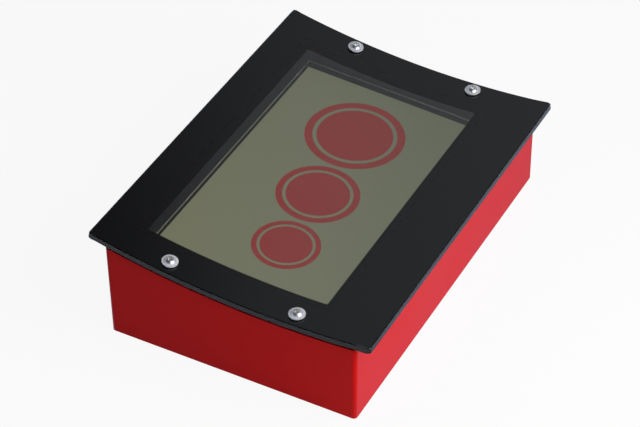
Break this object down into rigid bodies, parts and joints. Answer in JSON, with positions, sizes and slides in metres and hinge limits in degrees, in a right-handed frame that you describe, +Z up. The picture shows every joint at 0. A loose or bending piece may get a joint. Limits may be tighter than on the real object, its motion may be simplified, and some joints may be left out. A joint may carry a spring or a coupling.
{
  "type": "counter-top coin tray",
  "caption": "Wedge-shaped sheet steel counter tray whose bent glass top forms a shallow trough for coins over a built-in flat screen.",
  "frame": {"origin": "on the counter under the middle of the whole tray", "axes": "+X along the long side, +Y from the low front to the high back, +Z up"},
  "size_m": [0.3, 0.2211, 0.0912],
  "materials": {
    "red_enamel": "gloss",
    "zinc_steel": "satin",
    "stainless_steel": "polished",
    "bent_glass": "polished",
    "black_enamel": "matte",
    "foam_rubber": "matte",
    "foot_rubber": "matte",
    "nylon": "satin",
    "bezel_steel": "satin",
    "screen_glass": "satin",
    "acrylic": "polished",
    "circuit_board": "satin",
    "black_plastic": "satin",
    "white_plastic": "satin",
    "fin_aluminium": "satin",
    "nickel_brass": "polished"
  },
  "bodies": {
    "housing": {"body_shell": "red_enamel", "end_rail_left": "zinc_steel", "end_rail_right": "zinc_steel", "gasket_left": "foam_rubber", "gasket_right": "foam_rubber", "gasket_front": "foam_rubber", "gasket_back": "foam_rubber", "screen_bracket_left": "zinc_steel", "screen_bracket_right": "zinc_steel", "base_rail_front": "zinc_steel", "base_rail_back": "zinc_steel", "weld_nuts": "zinc_steel", "base_plate": "zinc_steel", "base_screws": "zinc_steel", "base_nuts": "zinc_steel", "rubber_feet": "foot_rubber", "screen_bezel": "bezel_steel", "screen_cell": "screen_glass", "light_guide": "acrylic", "screen_back": "zinc_steel", "screen_screws": "zinc_steel", "screen_nuts": "zinc_steel", "control_board": "circuit_board", "board_standoffs": "nickel_brass", "board_screws": "zinc_steel", "player_chip": "black_plastic", "heat_sink": "fin_aluminium", "capacitors": "fin_aluminium", "ribbon_header": "white_plastic", "screen_connector": "white_plastic", "power_header": "white_plastic", "power_inlet": "black_plastic", "inlet_nut": "nickel_brass"},
    "glass_top": {"glass_plate": "bent_glass", "border_print": "black_enamel", "glass_screws": "stainless_steel", "screw_washers": "nylon", "hole_bushes": "nylon"}
  },
  "joints": [
    {"name": "glass_lift", "type": "slide", "parent": "housing", "child": "glass_top", "axis": [0, -0.0698, 0.9976], "range_m": [0, 0.06]}
  ]
}
